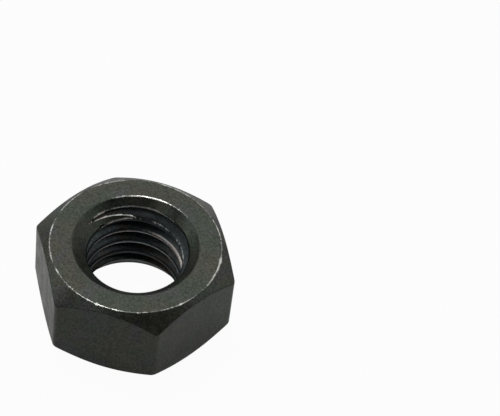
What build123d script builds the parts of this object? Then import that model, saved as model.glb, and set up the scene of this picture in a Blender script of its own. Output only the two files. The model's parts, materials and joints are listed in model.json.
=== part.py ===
from build123d import *
from build123d.topology import SkipClean
import os
from math import ceil, cos, pi, radians, sin, tan

# Plain hexagon nut with a metric M10 x 1.5 right-hand thread, in millimetres.
# The origin is the centre of the bottom face, +Z is the thread axis and +X points at a corner.

# Body
ACROSS_FLATS = 16.0
HEIGHT = 8.95
CORNER_RADIUS = 0.3  # worn vertical edges of the hexagon
TOP_FACE_DIAMETER = 15.1
TOP_CHAMFER_SLOPE = 40.0  # degrees down from the face
BOTTOM_FACE_DIAMETER = 12.6
BOTTOM_CHAMFER_SLOPE = 34.0

# Thread
MAJOR_DIAMETER = 10.0
MINOR_DIAMETER = 8.4
PITCH = 1.5
ROOT_FLAT = PITCH / 8  # flat at the bottom of the groove
FLANK_SLOPE = 30.0  # degrees that each flank leans from square to the axis
TOP_SINK_DIAMETER = 11.3
TOP_SINK_SLOPE = 45.0  # degrees down from the face
BOTTOM_SINK_DIAMETER = 10.6
BOTTOM_SINK_SLOPE = 60.0
THREAD_START = -1.34  # height of the groove's middle on +X, at the start of its first turn

# Cutting profiles run past the surfaces that they cut by this much
OVERRUN = 0.3

HEX_SIDES = 6
QUARTER_TURN = 90

major_radius = MAJOR_DIAMETER / 2
minor_radius = MINOR_DIAMETER / 2
top_sink_radius = TOP_SINK_DIAMETER / 2
bottom_sink_radius = BOTTOM_SINK_DIAMETER / 2
corner_reach = ACROSS_FLATS / 2 / cos(pi / HEX_SIDES) + OVERRUN


def rise(run, slope):
    """Height gained over a level run by a line at this slope, in degrees."""
    return run * tan(radians(slope))


def radial_plane(angle):
    """Upright plane through the axis: its x runs outward at this angle, and its y runs up."""
    outward = (cos(radians(angle)), sin(radians(angle)), 0)
    sideways = (sin(radians(angle)), -cos(radians(angle)), 0)
    return Plane(origin=(0, 0, 0), x_dir=outward, z_dir=sideways)


with BuildPart() as nut_body:
    # Hexagonal bar, cut to length
    with BuildSketch(Plane.XY):
        RegularPolygon(ACROSS_FLATS / 2, HEX_SIDES, major_radius=False)
        fillet(vertices(), CORNER_RADIUS)
    extrude(amount=HEIGHT)

    # Both ends turned to cones, which leave a round face and a curved end on each flat
    bottom_rise = rise(corner_reach - BOTTOM_FACE_DIAMETER / 2, BOTTOM_CHAMFER_SLOPE)
    top_rise = rise(corner_reach - TOP_FACE_DIAMETER / 2, TOP_CHAMFER_SLOPE)
    with BuildSketch(Plane.XZ):
        Polygon(
            (0, 0),
            (BOTTOM_FACE_DIAMETER / 2, 0),
            (corner_reach, bottom_rise),
            (corner_reach, HEIGHT - top_rise),
            (TOP_FACE_DIAMETER / 2, HEIGHT),
            (0, HEIGHT),
        )
    revolve(axis=Axis.Z, mode=Mode.INTERSECT)

    # Bore with a countersink at each end, cut a quarter turn at a time. The seams between the
    # quarters stay, so that the thread's crest is a chain of short cylindrical faces.
    top_sink_depth = rise(top_sink_radius - minor_radius, TOP_SINK_SLOPE)
    top_sink_reach = top_sink_radius + OVERRUN / tan(radians(TOP_SINK_SLOPE))
    bottom_sink_depth = rise(bottom_sink_radius - minor_radius, BOTTOM_SINK_SLOPE)
    bottom_sink_reach = bottom_sink_radius + OVERRUN / tan(radians(BOTTOM_SINK_SLOPE))
    with SkipClean():
        for angle in range(0, 360, QUARTER_TURN):
            with BuildSketch(radial_plane(angle)):
                Polygon(
                    (0, -OVERRUN),
                    (bottom_sink_reach, -OVERRUN),
                    (minor_radius, bottom_sink_depth),
                    (minor_radius, HEIGHT - top_sink_depth),
                    (top_sink_reach, HEIGHT + OVERRUN),
                    (0, HEIGHT + OVERRUN),
                )
            revolve(axis=Axis.Z, revolution_arc=QUARTER_TURN, mode=Mode.SUBTRACT)

    # Right-hand thread groove, cut one turn at a time from below the nut to above it
    mouth = ROOT_FLAT / 2 + rise(major_radius - minor_radius + OVERRUN, FLANK_SLOPE)
    turns = ceil((HEIGHT - THREAD_START) / PITCH) + 1
    with SkipClean():
        for turn in range(turns):
            start = THREAD_START + turn * PITCH
            with BuildLine():
                Helix(PITCH, PITCH, minor_radius, center=(0, 0, start))
            with BuildSketch(Plane(origin=(0, 0, start), x_dir=(1, 0, 0), z_dir=(0, -1, 0))):
                Polygon(
                    (minor_radius - OVERRUN, -mouth),
                    (major_radius, -ROOT_FLAT / 2),
                    (major_radius, ROOT_FLAT / 2),
                    (minor_radius - OVERRUN, mouth),
                )
            sweep(is_frenet=True, mode=Mode.SUBTRACT)

nut_body.part.label = "nut_body"
os.makedirs("parts", exist_ok=True)
export_step(nut_body.part, "parts/nut_body.step")
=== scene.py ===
import json
import math

import bpy
import numpy as np
from mathutils import Matrix, Vector


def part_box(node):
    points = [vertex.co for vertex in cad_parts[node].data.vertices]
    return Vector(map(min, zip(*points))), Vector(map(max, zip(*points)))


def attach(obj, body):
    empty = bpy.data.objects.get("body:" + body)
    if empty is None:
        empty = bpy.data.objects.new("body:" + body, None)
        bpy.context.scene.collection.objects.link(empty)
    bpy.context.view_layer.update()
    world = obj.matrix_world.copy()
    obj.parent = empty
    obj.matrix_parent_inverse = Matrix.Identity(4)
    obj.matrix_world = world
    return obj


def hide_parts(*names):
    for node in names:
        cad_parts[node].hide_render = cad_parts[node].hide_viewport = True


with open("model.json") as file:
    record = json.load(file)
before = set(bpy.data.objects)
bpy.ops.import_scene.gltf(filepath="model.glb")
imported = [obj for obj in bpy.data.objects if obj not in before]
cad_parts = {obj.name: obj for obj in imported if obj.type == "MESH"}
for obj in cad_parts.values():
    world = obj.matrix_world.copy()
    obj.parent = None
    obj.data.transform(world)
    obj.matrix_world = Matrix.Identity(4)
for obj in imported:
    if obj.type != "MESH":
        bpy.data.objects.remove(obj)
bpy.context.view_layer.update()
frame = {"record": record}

# ---------------------------------------------------------------- sizes, in millimetres
MM = 0.001
NODE = "nut_body"
low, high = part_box(NODE)
thread_mount = next(m for m in frame["record"]["mounts"] if m["name"] == "thread")

HEIGHT = (high[2] - low[2]) / MM
ACROSS_FLATS = (high[1] - low[1]) / MM
APOTHEM = ACROSS_FLATS / 2
MINOR = thread_mount["dims"]["r_mm"]
MAJOR = 5.0
PITCH = 1.5
CREST = PITCH - PITCH / 8 - 2 * (MAJOR - MINOR) * math.tan(math.radians(30))
SINK = 5.65  # radius of the top countersink's mouth
BOTTOM_SINK = 5.3
BOTTOM_SINK_SLOPE = math.tan(math.radians(60))
TOP_CIRCLE = 7.55  # radius of the face's edge, where the chamfer starts
BOTTOM_CIRCLE = 6.3
TOP_SLOPE = math.tan(math.radians(40))
BOTTOM_SLOPE = math.tan(math.radians(34))
GROOVE_AT_X = 0.16  # height of a groove's middle over +X, less whole pitches

CORNER = 0.55  # small radii that the die and wear leave on the edges
FLAT_EDGE = 0.14
HEEL_EDGE = 0.35
FACE_EDGE = 0.05
SINK_EDGE = 0.16
SINK_EDGE_SOFTER = 0.6  # added to the top one, on the side opposite WORN_SIDE
SINK_STRIP = 0.5  # how far into the countersinks the profile's end points lie
SINK_GUARD = 0.1  # share of the way to that point where the wear of the top edge ends
SINK_EDGE_WEAR = 0.98
RIM_FACET = 0.05  # width of the worn strip between the top face and its chamfer

WORN_SIDE = 95  # degrees round to the side where the edge of the top countersink is rubbed most

# Wear of the thread's crests. Depths are in millimetres down from the top face, and sides in degrees.
CREST_SIDE = 40  # side where the crests are rubbed most
MOUTH_DEPTH = 2.4  # above this depth the wear of the crests' lower edges fades out
MOUTH_FADE = 0.5
WEAR_DEPTH = 5.6  # below this depth the wear is at its least
WEAR_FADE = 0.8
LEAST_WEAR = 0.15
STREAK_SIDE = 35  # side where the crests' upper edges are rubbed too
STREAK_DEPTH = 4.4  # and how far down
STREAK_FADE = 0.6
CROSSING_SIDE = 108  # side where the thread's run-out into the top countersink is rubbed most
CROSSING_WEAR = 1.6
SLIDE_UP = 0.11  # how far the mesh points next to the run-out lie from it
SLIDE_DOWN = 0.05

# ---------------------------------------------------------------- mesh columns, round the axis
CORNER_COLUMNS = 6  # on each side of a corner's middle
CORNER_SPREAD = 1.5  # degrees on each side of a corner's middle that they cover
SIDE_COLUMNS = 68
SIXTH = math.pi / 3

# Nicks in the rim of the top face: angle and half width in degrees, depth in millimetres.
SMALL_NICKS = 46
RIM_NICKS = [(6.5, 2.2, 0.16), (209, 1.2, 0.10), (262, 1.6, 0.09), (318, 1.5, 0.07)]


def column_angles():
    """Angles of the mesh columns, starting at the corner on +X and close together at corners."""
    corner_end = math.radians(CORNER_SPREAD)
    one_sixth = np.concatenate([
        np.linspace(0, corner_end, CORNER_COLUMNS, endpoint=False),
        np.linspace(corner_end, SIXTH - corner_end, SIDE_COLUMNS, endpoint=False),
        np.linspace(SIXTH - corner_end, SIXTH, CORNER_COLUMNS, endpoint=False),
    ])
    return np.concatenate([one_sixth + SIXTH * k for k in range(6)])


def side_radius(angle):
    """Distance from the axis to the hexagon's side, with its corners rounded."""
    from_corner = (angle + SIXTH / 2) % SIXTH - SIXTH / 2
    from_middle = SIXTH / 2 - np.abs(from_corner)
    flat = APOTHEM / np.cos(from_middle)
    centre = (APOTHEM - CORNER) / math.cos(SIXTH / 2)
    across = centre * np.sin(from_corner)
    arc = centre * np.cos(from_corner) + np.sqrt(np.maximum(CORNER**2 - across**2, 0))
    tangent = SIXTH / 2 - math.atan((APOTHEM - CORNER) * math.tan(SIXTH / 2) / APOTHEM)
    return np.where(np.abs(from_corner) < tangent, arc, flat)


def ripple(angle, seed, waves, size):
    """A smooth closed curve of small random heights round the axis."""
    draw = np.random.default_rng(seed)
    height = np.zeros_like(angle)
    for n in range(1, waves + 1):
        height += draw.normal() / math.sqrt(n) * np.cos(n * angle + draw.uniform(0, 2 * math.pi))
    return size * height / np.abs(height).max()


def dip(angle, middle, half_width, depth):
    """A smooth notch in a curve round the axis. Angles are in radians."""
    away = (angle - middle + math.pi) % (2 * math.pi) - math.pi
    return depth * np.exp(-((away / half_width) ** 2))


def towards(angle, degrees, narrow=1.0):
    """1 on the side of the nut at this angle, falling smoothly to 0 on the far side."""
    return (0.5 + 0.5 * np.cos(angle - math.radians(degrees))) ** narrow


def rim_damage(angle):
    """How far the rim of the top face is knocked back: a few clear nicks and many tiny ones."""
    draw = np.random.default_rng(11)
    damage = np.zeros_like(angle)
    for middle, half_width, depth in RIM_NICKS:
        damage += dip(angle, math.radians(middle), math.radians(half_width), depth)
    for n in range(SMALL_NICKS):
        middle = draw.uniform(0, 2 * math.pi)
        half_width = draw.uniform(0.008, 0.022)
        depth = draw.uniform(0.01, 0.045)
        damage += dip(angle, middle, half_width, depth)
    return damage


# ---------------------------------------------------------------- outer profile
def fillet(before, corner, after, radius, steps):
    """Points of a round corner. Each point is an array (columns, 2) of radius and height."""
    a = before - corner
    b = after - corner
    a_length = np.linalg.norm(a, axis=1, keepdims=True)
    b_length = np.linalg.norm(b, axis=1, keepdims=True)
    a = a / a_length
    b = b / b_length
    half = np.arccos(np.clip((a * b).sum(1, keepdims=True), -1, 1)) / 2
    reach = np.minimum(radius / np.tan(half), 0.45 * np.minimum(a_length, b_length))
    radius = reach * np.tan(half)
    bisector = a + b
    bisector /= np.linalg.norm(bisector, axis=1, keepdims=True)
    centre = corner + bisector * radius / np.sin(half)
    start = corner + a * reach - centre
    end = corner + b * reach - centre
    turn = math.pi - 2 * half
    points = []
    for t in np.linspace(0, 1, steps):
        weight_a = np.sin((1 - t) * turn) / np.sin(turn)
        weight_b = np.sin(t * turn) / np.sin(turn)
        points.append(centre + start * weight_a + end * weight_b)
    return points


def point(radius, height, columns):
    """One profile corner for every column."""
    return np.stack([np.broadcast_to(radius, columns), np.broadcast_to(height, columns)], 1)


def outer_rows(angle):
    """Rows of the outside, from the bottom countersink round to the top one, with wear and turning."""
    n = len(angle)
    side = side_radius(angle)
    top_circle = TOP_CIRCLE + ripple(angle, 3, 14, 0.025)
    facet = RIM_FACET + ripple(angle, 8, 40, 0.018) + rim_damage(angle)
    facet_out = 0.35 * facet
    bottom_circle = BOTTOM_CIRCLE + ripple(angle, 4, 10, 0.035)
    top_sink = SINK + ripple(angle, 5, 22, 0.03)
    sink_edge = SINK_EDGE + SINK_EDGE_SOFTER * towards(angle, WORN_SIDE + 180, 2)[:, None]
    sink_wear = SINK_EDGE_WEAR * towards(angle, WORN_SIDE, 4)
    # Each corner: its place, radius and rows, then the rows that follow it, its wear and whether
    # it and those rows are turned.
    corners = [
        (point(BOTTOM_SINK - SINK_STRIP, SINK_STRIP * BOTTOM_SINK_SLOPE, n), 0, 0, 0, 0, 1),
        (point(BOTTOM_SINK, 0, n), SINK_EDGE, 5, 8, 0.2, 1),
        (point(bottom_circle, 0, n), FACE_EDGE, 5, 5, 0.6, 1),
        (point(side, (side - bottom_circle) * BOTTOM_SLOPE, n), HEEL_EDGE, 7, 14, 0.3, 0),
        (point(side, HEIGHT - (side - top_circle) * TOP_SLOPE, n), FLAT_EDGE, 5, 5, 0.3, 1),
        (point(top_circle + facet_out, HEIGHT - facet_out * TOP_SLOPE, n), FACE_EDGE, 4, 0, 0.8, 1),
        (point(top_circle + facet_out - facet, HEIGHT, n), FACE_EDGE, 4, 14, 0.8, 1),
        (point(top_sink, HEIGHT, n), sink_edge, 6, 0, sink_wear, 1),
        (point(SINK - SINK_STRIP, HEIGHT - SINK_STRIP, n), 0, 0, 0, 0, 1),
    ]
    rows, wear, turned = [], [], []
    for i in range(1, len(corners) - 1):
        corner, radius, steps, between, edge, lathe = corners[i]
        arc = fillet(corners[i - 1][0], corner, corners[i + 1][0], radius, steps)
        if rows:
            for t in np.linspace(0, 1, corners[i - 1][3] + 2)[1:-1]:
                rows.append(arc_end * (1 - t) + arc[0] * t)
                wear.append(np.zeros(n))
                turned.append(corners[i - 1][5])
        rows += arc
        wear += [np.broadcast_to(edge, n)] * steps
        turned += [lathe] * steps
        arc_end = arc[-1]
    # One more row, just down the countersink, where the wear of its edge ends.
    rows.append((1 - SINK_GUARD) * arc_end + SINK_GUARD * corners[-1][0])
    wear.append(np.zeros(n))
    turned.append(1)
    return np.array(rows), wear, turned


# ---------------------------------------------------------------- thread profile
def thread_shape():
    """(height in one pitch, radius, wear) of the thread's profile points, from a crest's middle."""
    flank_end = PITCH / 2 - PITCH / 16
    half = CREST / 2
    rising = [
        (half - 0.14, MINOR, 0.9),
        (half - 0.04, MINOR + 0.012, 1.3),
        (half + 0.04, MINOR + 0.095, 1.2),
        (half * 0.77 + flank_end * 0.23, MINOR * 0.77 + MAJOR * 0.23, 0.0),
        (half * 0.55 + flank_end * 0.45, MINOR * 0.55 + MAJOR * 0.45, 0.0),
        (half * 0.33 + flank_end * 0.67, MINOR * 0.33 + MAJOR * 0.67, 0.0),
        (flank_end - 0.05, MAJOR - 0.1, 0.0),
        (flank_end + 0.02, MAJOR - 0.02, 0.0),
    ]
    falling = [(PITCH - z, r, wear) for z, r, wear in reversed(rising)]
    return np.array([(0.0, MINOR, 0.0)] + rising + [(PITCH / 2, MAJOR, 0.0)] + falling)


def cone_radius(z):
    """Radius of the countersinks at these heights."""
    return np.maximum(SINK - (HEIGHT - z), BOTTOM_SINK - z / BOTTOM_SINK_SLOPE)


def crest_wear(angle, z, edge_wear, upper_edge):
    """Wear of the crests: strong on their lower edges except near the mouth, and weaker on their
    upper edges except for one streak. It's greater on one side and less far down."""
    depth_in = HEIGHT - z
    near_end = np.clip((MOUTH_DEPTH - depth_in) / MOUTH_FADE, 0, 1)
    deep = np.clip((WEAR_DEPTH - depth_in) / WEAR_FADE, LEAST_WEAR, 1)
    rubbed = 0.85 + 0.5 * towards(angle, CREST_SIDE, 2)[None, :]
    streak = np.clip((STREAK_DEPTH - depth_in) / STREAK_FADE, 0, 1)
    streak = streak * towards(angle, STREAK_SIDE, 3)[None, :]
    upper_mark = 0.3 + 0.13 * near_end + 0.6 * streak * (1 - near_end)
    return edge_wear * rubbed * deep * np.where(upper_edge, upper_mark, 1 - near_end)


def bore_rows(angle, low_end, high_end):
    """Rows of the bore, which climb with the thread: (radius, height), wear, thread and end flags."""
    shape = thread_shape()
    per_pitch = len(shape)
    turns = math.ceil(HEIGHT / PITCH) + 3
    base = GROOVE_AT_X - PITCH / 2 - 2 * PITCH
    index = np.arange(turns * per_pitch)
    step = shape[index % per_pitch]
    nominal = base + PITCH * (index // per_pitch) + step[:, 0]
    z = nominal[:, None] + PITCH * angle[None, :] / (2 * math.pi)
    r = np.broadcast_to(step[:, 1][:, None], z.shape).copy()
    upper_edge = (index % per_pitch < per_pitch / 2)[:, None]
    mark = crest_wear(angle, z, step[:, 2][:, None], upper_edge)
    cone = cone_radius(z)
    depth = r - cone
    mark = np.where(depth > 0, mark, 0)
    crossing = depth[:-1] * depth[1:] < 0
    share = np.where(crossing, depth[:-1] / np.where(crossing, depth[:-1] - depth[1:], 1), 0)
    cross_z = z[:-1] + share * (z[1:] - z[:-1])
    cross_r = r[:-1] + share * (r[1:] - r[:-1])
    r = np.maximum(r, cone)
    threaded = np.where((r > cone) | (z < HEIGHT / 2), 1.0, 0.0)
    for i, j in zip(*np.nonzero(crossing)):
        k = i if share[i, j] < 0.5 else i + 1
        z[k, j] = cross_z[i, j]
        r[k, j] = cross_r[i, j]
        at_top = z[k, j] > HEIGHT / 2
        mark[k, j] = CROSSING_WEAR * towards(angle[j], CROSSING_SIDE, 3) if at_top else 0
        # The next point on the cone slides along it, close to the edge, to keep the mark narrow.
        way = -1 if depth[i, j] < 0 else 1
        if 0 <= k + way < len(z) and depth[k + way, j] < 0:
            z[k + way, j] = z[k, j] + (SLIDE_UP if way > 0 else -SLIDE_DOWN)
            r[k + way, j] = cone_radius(z[k + way, j])
            mark[k + way, j] = 0.5 * mark[k, j] if way > 0 else 0
    snap = 0.03
    above = z > high_end[None, :, 1] - snap
    below = z < low_end[None, :, 1] + snap
    return np.stack([r, z], 2), mark, threaded, below | above, above, per_pitch


# ---------------------------------------------------------------- mesh
def quads(index, beside):
    """Faces between two neighbouring columns of every row pair, less those that collapse."""
    corners = np.stack([index[:-1], beside[:-1], beside[1:], index[1:]], 2).reshape(-1, 4)
    faces = [list(dict.fromkeys(quad)) for quad in corners.tolist()]
    return [face for face in faces if len(face) > 2]


def add_attribute(mesh, name, values):
    """A number for every vertex, which the material reads by name."""
    attribute = mesh.attributes.new(name, "FLOAT", "POINT")
    attribute.data.foreach_set("value", np.asarray(values, np.float32))


def nut_mesh():
    """The whole nut as one closed mesh, in metres, with what its material reads."""
    angle = column_angles()
    columns = len(angle)
    outer, wear, turned = outer_rows(angle)
    bore, bore_wear, threaded, dropped, above, per_pitch = bore_rows(angle, outer[0], outer[-1])

    rows = len(outer)
    outer_index = np.arange(rows * columns).reshape(rows, columns)
    kept = ~dropped
    inner_index = np.zeros(kept.shape, int)
    inner_index[kept] = rows * columns + np.arange(kept.sum())
    rims = np.where(above, outer_index[-1], outer_index[0])
    inner_index = np.where(dropped, rims, inner_index)

    profile = np.concatenate([outer.reshape(-1, 2), bore[kept]])
    turn = np.concatenate([np.tile(angle, rows), np.broadcast_to(angle, kept.shape)[kept]])
    across = profile[:, 0] * np.cos(turn)
    along = profile[:, 0] * np.sin(turn)
    points = np.stack([across, along, profile[:, 1]], 1) * MM

    # After a whole turn, each row of the bore has climbed to become the one a pitch higher.
    climbed = np.concatenate([inner_index[per_pitch:, 0], np.repeat(inner_index[-1, 0], per_pitch)])
    inner_beside = np.concatenate([inner_index[:, 1:], climbed[:, None]], 1)
    faces = quads(outer_index, np.roll(outer_index, -1, 1)) + quads(inner_beside, inner_index)

    mesh = bpy.data.meshes.new(NODE + "_surface")
    mesh.from_pydata(points.tolist(), [], faces)
    add_attribute(mesh, "wear", np.concatenate([np.concatenate(wear), bore_wear[kept]]))
    add_attribute(mesh, "turned", np.concatenate([np.repeat(turned, columns), 1 - threaded[kept]]))
    add_attribute(mesh, "thread", np.concatenate([np.zeros(rows * columns), threaded[kept]]))
    for polygon in mesh.polygons:
        polygon.use_smooth = True
    mesh.update()
    return mesh


# ---------------------------------------------------------------- material
def add_node(tree, kind, settings=None, **inputs):
    """A node with its settings, whose inputs are values or other nodes' sockets."""
    node = tree.nodes.new(kind)
    for name, value in (settings or {}).items():
        setattr(node, name, value)
    for name, value in inputs.items():
        by_number = name[0] == "i" and name[1:].isdigit()
        socket = node.inputs[int(name[1:]) if by_number else name]
        if isinstance(value, bpy.types.NodeSocket):
            tree.links.new(value, socket)
        else:
            socket.default_value = value
    return node


def maths(tree, operation, *values):
    """The result of a Math node."""
    inputs = {f"i{n}": value for n, value in enumerate(values)}
    return add_node(tree, "ShaderNodeMath", {"operation": operation}, **inputs).outputs[0]


def vector_maths(tree, operation, *values):
    """A Vector Math node."""
    inputs = {f"i{n}": value for n, value in enumerate(values)}
    return add_node(tree, "ShaderNodeVectorMath", {"operation": operation}, **inputs)


def noise(tree, place, scale, detail=2.0, roughness=0.5, seed=0.0):
    """Soft noise between 0 and 1. The scale is in waves per millimetre."""
    moved = vector_maths(tree, "ADD", place, (seed, seed * 1.7, seed * 2.3))
    inputs = {"Scale": scale, "Detail": detail, "Roughness": roughness, "Vector": moved.outputs[0]}
    return add_node(tree, "ShaderNodeTexNoise", None, **inputs).outputs["Fac"]


def remap(tree, value, low, high, to_low=0.0, to_high=1.0):
    """A value moved smoothly from one range to another, and held at its ends."""
    inputs = {"Value": value, "From Min": low, "From Max": high, "To Min": to_low, "To Max": to_high}
    settings = {"interpolation_type": "SMOOTHSTEP"}
    return add_node(tree, "ShaderNodeMapRange", settings, **inputs).outputs["Result"]


def blend(tree, factor, first, second):
    """Two colours mixed."""
    node = add_node(tree, "ShaderNodeMix", {"data_type": "RGBA"}, i0=factor, i6=first, i7=second)
    return node.outputs[2]


def scaled(tree, vector, factor):
    """A colour or a vector multiplied by a number."""
    settings = {"operation": "SCALE"}
    return add_node(tree, "ShaderNodeVectorMath", settings, i0=vector, Scale=factor).outputs[0]


def attribute(tree, name):
    """A number that the mesh holds."""
    return add_node(tree, "ShaderNodeAttribute", {"attribute_name": name}).outputs["Fac"]


GREEN_OXIDE = (0.046, 0.056, 0.043, 1)
BROWN_OXIDE = (0.055, 0.055, 0.044, 1)
VIOLET_OXIDE = (0.051, 0.053, 0.052, 1)
THREAD_OXIDE = (0.046, 0.056, 0.058, 1)
RUST_OXIDE = (0.054, 0.047, 0.038, 1)
BARE_STEEL = (0.66, 0.66, 0.63, 1)
WARM_STEEL = (0.85, 0.79, 0.75, 1)
COOL_STEEL = (0.76, 0.84, 0.86, 1)
BOTTOM_DARKENING = (0.6, 1.4)  # heights in the bore where its darkening towards the bottom end thins out
MOUTH_PAINTED_SHADE = (7.1, 7.6)  # and where painted shade darkens the bore again towards the mouth
RUBBED_ROUGHNESS = 0.35  # added where the thread is rubbed bare
RELIEF = 0.006  # depth of the fine relief, in millimetres
METALLIC = 0.8


def oxide_colour(tree, place, thread):
    """The blackened surface: green-black, with brown and violet patches; in the thread, darker towards
    the bottom and darkened with painted shade towards the mouth.
    """
    patches = remap(tree, noise(tree, place, 0.30, 3.0, 0.55), 0.42, 0.60)
    tints = remap(tree, noise(tree, place, 0.42, 2.0, 0.5, 31.0), 0.52, 0.66)
    outside = blend(tree, patches, GREEN_OXIDE, BROWN_OXIDE)
    outside = blend(tree, tints, outside, VIOLET_OXIDE)
    stains = remap(tree, noise(tree, place, 0.35, 2.0, 0.5, 57.0), 0.48, 0.62)
    inside = blend(tree, stains, THREAD_OXIDE, RUST_OXIDE)
    height = add_node(tree, "ShaderNodeSeparateXYZ", None, Vector=place).outputs["Z"]
    # The bore's oxide is darker towards its bottom end.
    bottom_darkening = remap(tree, height, *BOTTOM_DARKENING, 0.12, 1)
    # Painted shade: the bore's oxide darkens towards the mouth, in the groove under the countersink.
    mouth_painted_shade = remap(tree, height, *MOUTH_PAINTED_SHADE, 1, 0.4)
    inside = scaled(tree, inside, maths(tree, "MULTIPLY", bottom_darkening, mouth_painted_shade))
    oxide = blend(tree, thread, outside, inside)
    speckle = remap(tree, noise(tree, place, 4.6, 3.0, 0.8, 88.0), 0.3, 0.7, 0.58, 1.46)
    return scaled(tree, oxide, speckle)


def worn_edges(tree, place, wear):
    """How much bare metal shows: along the marked edges, broken up by noise."""
    broken = noise(tree, place, 0.55, 3.0, 0.6, 12.0)
    ragged = noise(tree, place, 4.5, 2.0, 0.6, 77.0)
    loss = maths(tree, "ADD", maths(tree, "MULTIPLY", broken, 1.3), maths(tree, "MULTIPLY", ragged, 0.7))
    edge = maths(tree, "ADD", wear, maths(tree, "SUBTRACT", loss, 1.0))
    return remap(tree, edge, 0.62, 1.15)


def along_radius(tree, radius):
    """A vector whose height is the distance from the axis, which stretches noise into rings."""
    return add_node(tree, "ShaderNodeCombineXYZ", None, Z=maths(tree, "MULTIPLY", radius, 9.0)).outputs[0]


def surface_height(tree, place, turned):
    """The fine relief: lathe rings where the surface is turned, grain and small pits."""
    level = vector_maths(tree, "MULTIPLY", place, (1, 1, 0)).outputs[0]
    outward = vector_maths(tree, "NORMALIZE", level).outputs[0]
    radius = vector_maths(tree, "LENGTH", level).outputs["Value"]
    round_axis = (1.1, 1.1, 0)  # how fast the noise changes along each ring
    ring_place = vector_maths(tree, "MULTIPLY_ADD", outward, round_axis, along_radius(tree, radius))
    rings = noise(tree, ring_place.outputs[0], 1.0, 3.0, 0.7)
    rings = maths(tree, "MULTIPLY", maths(tree, "MULTIPLY", rings, turned), 1.6)
    grain = noise(tree, place, 5.0, 3.0, 0.65, 5.0)
    swell = maths(tree, "MULTIPLY", noise(tree, place, 0.8, 2.0, 0.5, 9.0), 3.0)
    return maths(tree, "ADD", maths(tree, "ADD", rings, grain), swell)


def black_oxide():
    """Oxide-blackened steel, worn bright along its edges."""
    material = bpy.data.materials.new("black_oxide")
    material.use_nodes = True
    tree = material.node_tree
    shader = tree.nodes["Principled BSDF"]
    coordinates = add_node(tree, "ShaderNodeTexCoord").outputs["Object"]
    place = scaled(tree, coordinates, 1 / MM)
    thread = attribute(tree, "thread")
    bare = worn_edges(tree, place, attribute(tree, "wear"))
    warmth = remap(tree, noise(tree, place, 0.30, 1.0, 0.5, 43.0), 0.45, 0.60)
    thread_steel = blend(tree, warmth, COOL_STEEL, WARM_STEEL)
    steel = blend(tree, thread, BARE_STEEL, thread_steel)
    colour = blend(tree, bare, oxide_colour(tree, place, thread), steel)
    cloud = noise(tree, place, 0.9, 3.0, 0.6, 21.0)
    roughness = remap(tree, cloud, 0.3, 0.7, 0.26, 0.38)
    rubbed = maths(tree, "MULTIPLY", bare, thread)
    roughness = maths(tree, "MULTIPLY_ADD", rubbed, RUBBED_ROUGHNESS, roughness)
    height = surface_height(tree, place, attribute(tree, "turned"))
    bump = add_node(tree, "ShaderNodeBump", None, Height=height, Strength=1.0, Distance=RELIEF * MM)
    tree.links.new(colour, shader.inputs["Base Color"])
    tree.links.new(roughness, shader.inputs["Roughness"])
    tree.links.new(bump.outputs[0], shader.inputs["Normal"])
    shader.inputs["Metallic"].default_value = METALLIC
    return material


# ---------------------------------------------------------------- pieces
def add_object(name, mesh, material):
    """A new object for a mesh, with its material."""
    thing = bpy.data.objects.new(name, mesh)
    bpy.context.scene.collection.objects.link(thing)
    mesh.materials.append(material)
    return thing


def make_nut():
    """The nut, which stands for its CAD node."""
    nut = add_object("hex_nut", nut_mesh(), black_oxide())
    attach(nut, "root")
    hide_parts(NODE)


FLOOR_GLOW = 0.17  # share of the floor's own light in what the nut sees of it
FLOOR_SHOWN = 0.96  # the same share in what the camera sees
FLOOR_HALF = 3.0


def make_floor():
    """A plain pale floor that is lit from below, a little brighter to the camera than to the nut."""
    mesh = bpy.data.meshes.new("floor")
    corners = [(-FLOOR_HALF, -FLOOR_HALF, 0), (FLOOR_HALF, -FLOOR_HALF, 0)]
    corners += [(FLOOR_HALF, FLOOR_HALF, 0), (-FLOOR_HALF, FLOOR_HALF, 0)]
    mesh.from_pydata(corners, [], [(0, 1, 2, 3)])
    material = bpy.data.materials.new("pale_floor")
    material.use_nodes = True
    tree = material.node_tree
    shader = tree.nodes["Principled BSDF"]
    shader.inputs["Base Color"].default_value = (0.41, 0.41, 0.41, 1)
    shader.inputs["Roughness"].default_value = 0.9
    shader.inputs["Specular IOR Level"].default_value = 0.0
    glow = add_node(tree, "ShaderNodeEmission", None, Color=(1, 1, 1, 1), Strength=1.0)
    seen = add_node(tree, "ShaderNodeLightPath").outputs["Is Camera Ray"]
    seen = maths(tree, "MULTIPLY_ADD", seen, FLOOR_SHOWN - FLOOR_GLOW, FLOOR_GLOW)
    mixed = add_node(tree, "ShaderNodeMixShader", None, i0=seen, i1=shader.outputs[0], i2=glow.outputs[0])
    tree.links.new(mixed.outputs[0], tree.nodes["Material Output"].inputs["Surface"])
    add_object("floor", mesh, material)


# ---------------------------------------------------------------- camera and light
VIEW_AZIMUTH = 9.75
VIEW_ELEVATION = 48.56
VIEW_ROLL = 8.5
VIEW_DISTANCE = 12.25 * ACROSS_FLATS * MM
LENS = 148.2
AIM = Vector((0.4297, 0.9657, 0)) * ACROSS_FLATS * MM  # the nut stands low and to the left


def direction(azimuth, elevation):
    """Unit vector from the nut towards a place. Azimuth 0 is on -Y and 90 on +X, in degrees."""
    a, e = math.radians(azimuth), math.radians(elevation)
    return Vector((math.sin(a) * math.cos(e), -math.cos(a) * math.cos(e), math.sin(e)))


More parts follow.
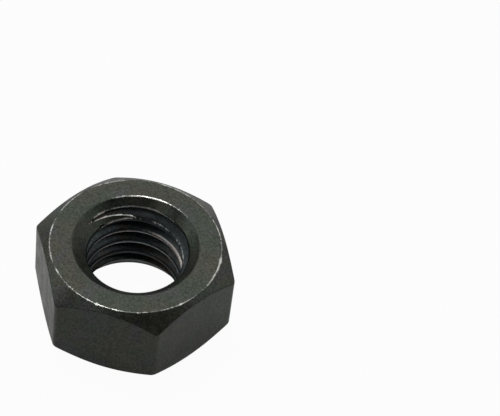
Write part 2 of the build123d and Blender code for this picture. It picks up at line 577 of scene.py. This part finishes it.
def make_camera():
    """The camera, at the reference viewing angle."""
    data = bpy.data.cameras.new("camera")
    data.lens = LENS
    camera = bpy.data.objects.new("camera", data)
    bpy.context.scene.collection.objects.link(camera)
    back = direction(VIEW_AZIMUTH, VIEW_ELEVATION)
    camera.location = AIM + back * VIEW_DISTANCE
    turn = (-back).to_track_quat("-Z", "Y").to_matrix().to_4x4()
    roll = Matrix.Rotation(math.radians(VIEW_ROLL), 4, "Z")
    camera.rotation_euler = (turn @ roll).to_euler()
    bpy.context.scene.camera = camera


LAMP_DISTANCE = 0.5

# Each lamp: its name, azimuth and elevation in degrees, width in metres and power in watts.
LAMPS = [
    ("edge_lamp", 180 + VIEW_AZIMUTH + 50, 74, 0.08, 0.8),
    ("well_lamp", VIEW_AZIMUTH + 5, 84, 0.06, 0.26),
    ("left_lamp", VIEW_AZIMUTH - 90, 29, 0.2, 0.10),
    ("left_fill", VIEW_AZIMUTH - 41, 40, 0.2, 0.095),
]


def softbox(name, azimuth, elevation, width, power):
    """A square area light that looks at the nut."""
    light = bpy.data.lights.new(name, "AREA")
    light.shape = "SQUARE"
    light.size = width
    light.energy = power
    lamp = bpy.data.objects.new(name, light)
    way = direction(azimuth, elevation)
    lamp.location = Vector((0, 0, HEIGHT * MM / 2)) + way * LAMP_DISTANCE
    lamp.rotation_euler = way.to_track_quat("Z", "Y").to_euler()
    bpy.context.scene.collection.objects.link(lamp)


# Brightness of the studio from behind the nut (0) round to the viewer's side (1).
STUDIO_STOPS = [(0.0, 1.0), (0.5, 0.54), (0.59, 0.42), (0.68, 0.02), (0.90, 0.02), (0.98, 0.30)]
STUDIO_POWER = 1.20
STUDIO_SHOWN = 0.95  # brightness that the camera sees


def make_world():
    """The studio: bright behind the nut, dark where the viewer stands, pale to the camera."""
    world = bpy.data.worlds.new("studio")
    world.use_nodes = True
    bpy.context.scene.world = world
    tree = world.node_tree
    way = add_node(tree, "ShaderNodeTexCoord").outputs["Generated"]
    front = direction(VIEW_AZIMUTH, 0)
    facing = vector_maths(tree, "DOT_PRODUCT", way, front).outputs["Value"]
    share = maths(tree, "MULTIPLY_ADD", facing, 0.5, 0.5)
    ramp = add_node(tree, "ShaderNodeValToRGB", None, Fac=share)
    ramp.color_ramp.interpolation = "EASE"
    for n, (at, value) in enumerate(STUDIO_STOPS):
        stop = ramp.color_ramp.elements[n] if n < 2 else ramp.color_ramp.elements.new(at)
        stop.position = at
        stop.color = (value, value, value, 1)
    upward = add_node(tree, "ShaderNodeSeparateXYZ", None, Vector=way).outputs["Z"]
    lifted = remap(tree, upward, 0.0, 0.35, 0.15, 1.0)
    strength = maths(tree, "MULTIPLY", ramp.outputs["Color"], lifted)
    strength = maths(tree, "MULTIPLY", strength, STUDIO_POWER)
    seen = add_node(tree, "ShaderNodeLightPath").outputs["Is Camera Ray"]
    settings = {"data_type": "FLOAT"}
    shown = add_node(tree, "ShaderNodeMix", settings, i0=seen, i2=strength, i3=STUDIO_SHOWN)
    tree.links.new(shown.outputs[0], tree.nodes["Background"].inputs["Strength"])
    tree.nodes["Background"].inputs["Color"].default_value = (1, 1, 1, 1)


make_camera()
make_nut()
make_floor()
make_world()
for lamp in LAMPS:
    softbox(*lamp)
bpy.context.scene.view_settings.view_transform = "Standard"
